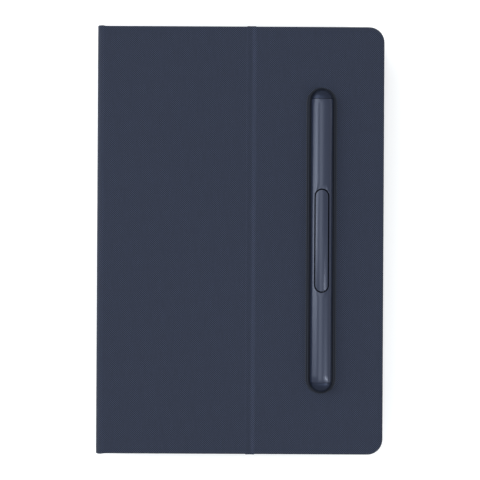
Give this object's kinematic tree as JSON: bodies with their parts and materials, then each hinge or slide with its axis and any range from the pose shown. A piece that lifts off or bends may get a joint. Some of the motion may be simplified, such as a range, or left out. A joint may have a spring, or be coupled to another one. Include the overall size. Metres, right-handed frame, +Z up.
{
  "type": "tablet keyboard case",
  "caption": "Folding book-style case for a small tablet, with a keyboard inside, a creased front flap that folds back as a stand and a stylus held in the flap.",
  "frame": {"origin": "under the middle of the closed case, on the surface it lies on", "axes": "+X from the spine to the free edge, +Y along the spine, +Z up out of the front cover"},
  "size_m": [0.1406, 0.21, 0.029],
  "materials": {
    "woven_cover": "matt navy canvas weave",
    "soft_lining": "matt brushed microfibre",
    "greyboard": "plain pressed board",
    "keyboard_plastic": "fine satin texture",
    "key_plastic": "fine matt texture",
    "shell_plastic": "fine matt texture",
    "dome_rubber": "matt moulded silicone",
    "contact_film": "printed polyester film",
    "circuit_resin": "solder-masked laminate",
    "battery_wrap": "matt pouch foil",
    "plated_steel": "nickel plated",
    "magnet_nickel": "bright nickel",
    "light_pipe": "clear, polished",
    "stylus_lacquer": "satin metallic lacquer",
    "stylus_gloss": "polished",
    "garage_plastic": "smooth satin"
  },
  "bodies": {
    "keyboard_base": {"base_cover_fabric": "woven_cover", "base_board": "greyboard", "base_lining": "soft_lining", "lower_hinge_strip": "woven_cover", "keyboard_lower_shell": "keyboard_plastic", "keyboard_deck": "keyboard_plastic", "contact_film": "contact_film", "rubber_dome_sheet": "dome_rubber", "keyboard_circuit_board": "circuit_resin", "keyboard_battery": "battery_wrap", "charging_socket": "plated_steel", "status_light_pipe": "light_pipe", "closure_magnet_left": "magnet_nickel", "closure_magnet_right": "magnet_nickel"},
    "power_switch": {"power_switch": "key_plastic"},
    "spine": {"spine_fabric": "woven_cover", "spine_board": "greyboard", "spine_lining": "soft_lining", "upper_hinge_strip": "woven_cover"},
    "tablet_holder": {"holder_fabric": "woven_cover", "holder_board": "greyboard", "holder_lining": "soft_lining", "tablet_shell": "shell_plastic", "shell_steel_strip": "plated_steel", "flap_crease_strip": "woven_cover"},
    "stand_flap": {"flap_fabric": "woven_cover", "flap_board": "greyboard", "flap_lining": "soft_lining", "flap_magnet_lower": "magnet_nickel", "flap_magnet_upper": "magnet_nickel", "garage_tray": "garage_plastic", "garage_rim": "garage_plastic", "garage_steel_strip": "plated_steel"},
    "stylus": {"stylus_barrel": "stylus_lacquer", "stylus_end_cap": "stylus_gloss", "stylus_tip_dome": "stylus_gloss", "stylus_battery": "battery_wrap", "stylus_circuit_board": "circuit_resin", "stylus_magnet_upper": "magnet_nickel", "stylus_magnet_lower": "magnet_nickel"},
    "stylus_button": {"stylus_button": "stylus_lacquer"},
    "escape_key": {"escape_key": "key_plastic"},
    "function_keys": {"function_keys": "key_plastic"},
    "delete_key": {"delete_key": "key_plastic"},
    "number_keys": {"number_keys": "key_plastic"},
    "backspace_key": {"backspace_key": "key_plastic"},
    "tab_key": {"tab_key": "key_plastic"},
    "upper_letter_keys": {"upper_letter_keys": "key_plastic"},
    "caps_lock_key": {"caps_lock_key": "key_plastic"},
    "home_letter_keys": {"home_letter_keys": "key_plastic"},
    "enter_key": {"enter_key": "key_plastic"},
    "left_shift_key": {"left_shift_key": "key_plastic"},
    "lower_letter_keys": {"lower_letter_keys": "key_plastic"},
    "right_shift_key": {"right_shift_key": "key_plastic"},
    "left_modifier_keys": {"left_modifier_keys": "key_plastic"},
    "space_bar": {"space_bar": "key_plastic"},
    "right_modifier_keys": {"right_modifier_keys": "key_plastic"}
  },
  "joints": [
    {"name": "lower_spine_fold", "type": "hinge", "parent": "keyboard_base", "child": "spine", "pos_m": [-0.0673, 0, 0.003], "axis": [0, -1, 0], "range_deg": [0, 90], "deforming": ["lower_hinge_strip"]},
    {"name": "upper_spine_fold", "type": "hinge", "parent": "spine", "child": "tablet_holder", "pos_m": [-0.0673, 0, 0.02], "axis": [0, -1, 0], "range_deg": [0, 40], "deforming": ["upper_hinge_strip"]},
    {"name": "flap_crease", "type": "hinge", "parent": "tablet_holder", "child": "stand_flap", "pos_m": [0.0052, 0, 0.023], "axis": [0, -1, 0], "range_deg": [0, 110], "deforming": ["flap_crease_strip"]},
    {"name": "stylus_lift", "type": "slide", "parent": "stand_flap", "child": "stylus", "axis": [0, 0, 1], "range_m": [0, 0.012]},
    {"name": "stylus_button_press", "type": "slide", "parent": "stylus", "child": "stylus_button", "axis": [0, 0, -1], "range_m": [0, 0.0004], "stiffness_N_per_m": 800, "springref_m": -0.0006},
    {"name": "power_switch_slide", "type": "slide", "parent": "keyboard_base", "child": "power_switch", "axis": [1, 0, 0], "range_m": [0, 0.003]},
    {"name": "escape_key_press", "type": "slide", "parent": "keyboard_base", "child": "escape_key", "axis": [0, 0, -1], "range_m": [0, 0.0012], "stiffness_N_per_m": 300, "springref_m": -0.001},
    {"name": "function_keys_press", "type": "slide", "parent": "keyboard_base", "child": "function_keys", "axis": [0, 0, -1], "range_m": [0, 0.0012], "stiffness_N_per_m": 300, "springref_m": -0.001},
    {"name": "delete_key_press", "type": "slide", "parent": "keyboard_base", "child": "delete_key", "axis": [0, 0, -1], "range_m": [0, 0.0012], "stiffness_N_per_m": 300, "springref_m": -0.001},
    {"name": "number_keys_press", "type": "slide", "parent": "keyboard_base", "child": "number_keys", "axis": [0, 0, -1], "range_m": [0, 0.0012], "stiffness_N_per_m": 300, "springref_m": -0.001},
    {"name": "backspace_key_press", "type": "slide", "parent": "keyboard_base", "child": "backspace_key", "axis": [0, 0, -1], "range_m": [0, 0.0012], "stiffness_N_per_m": 300, "springref_m": -0.001},
    {"name": "tab_key_press", "type": "slide", "parent": "keyboard_base", "child": "tab_key", "axis": [0, 0, -1], "range_m": [0, 0.0012], "stiffness_N_per_m": 300, "springref_m": -0.001},
    {"name": "upper_letter_keys_press", "type": "slide", "parent": "keyboard_base", "child": "upper_letter_keys", "axis": [0, 0, -1], "range_m": [0, 0.0012], "stiffness_N_per_m": 300, "springref_m": -0.001},
    {"name": "caps_lock_key_press", "type": "slide", "parent": "keyboard_base", "child": "caps_lock_key", "axis": [0, 0, -1], "range_m": [0, 0.0012], "stiffness_N_per_m": 300, "springref_m": -0.001},
    {"name": "home_letter_keys_press", "type": "slide", "parent": "keyboard_base", "child": "home_letter_keys", "axis": [0, 0, -1], "range_m": [0, 0.0012], "stiffness_N_per_m": 300, "springref_m": -0.001},
    {"name": "enter_key_press", "type": "slide", "parent": "keyboard_base", "child": "enter_key", "axis": [0, 0, -1], "range_m": [0, 0.0012], "stiffness_N_per_m": 300, "springref_m": -0.001},
    {"name": "left_shift_key_press", "type": "slide", "parent": "keyboard_base", "child": "left_shift_key", "axis": [0, 0, -1], "range_m": [0, 0.0012], "stiffness_N_per_m": 300, "springref_m": -0.001},
    {"name": "lower_letter_keys_press", "type": "slide", "parent": "keyboard_base", "child": "lower_letter_keys", "axis": [0, 0, -1], "range_m": [0, 0.0012], "stiffness_N_per_m": 300, "springref_m": -0.001},
    {"name": "right_shift_key_press", "type": "slide", "parent": "keyboard_base", "child": "right_shift_key", "axis": [0, 0, -1], "range_m": [0, 0.0012], "stiffness_N_per_m": 300, "springref_m": -0.001},
    {"name": "left_modifier_keys_press", "type": "slide", "parent": "keyboard_base", "child": "left_modifier_keys", "axis": [0, 0, -1], "range_m": [0, 0.0012], "stiffness_N_per_m": 300, "springref_m": -0.001},
    {"name": "space_bar_press", "type": "slide", "parent": "keyboard_base", "child": "space_bar", "axis": [0, 0, -1], "range_m": [0, 0.0012], "stiffness_N_per_m": 300, "springref_m": -0.001},
    {"name": "right_modifier_keys_press", "type": "slide", "parent": "keyboard_base", "child": "right_modifier_keys", "axis": [0, 0, -1], "range_m": [0, 0.0012], "stiffness_N_per_m": 300, "springref_m": -0.001}
  ]
}
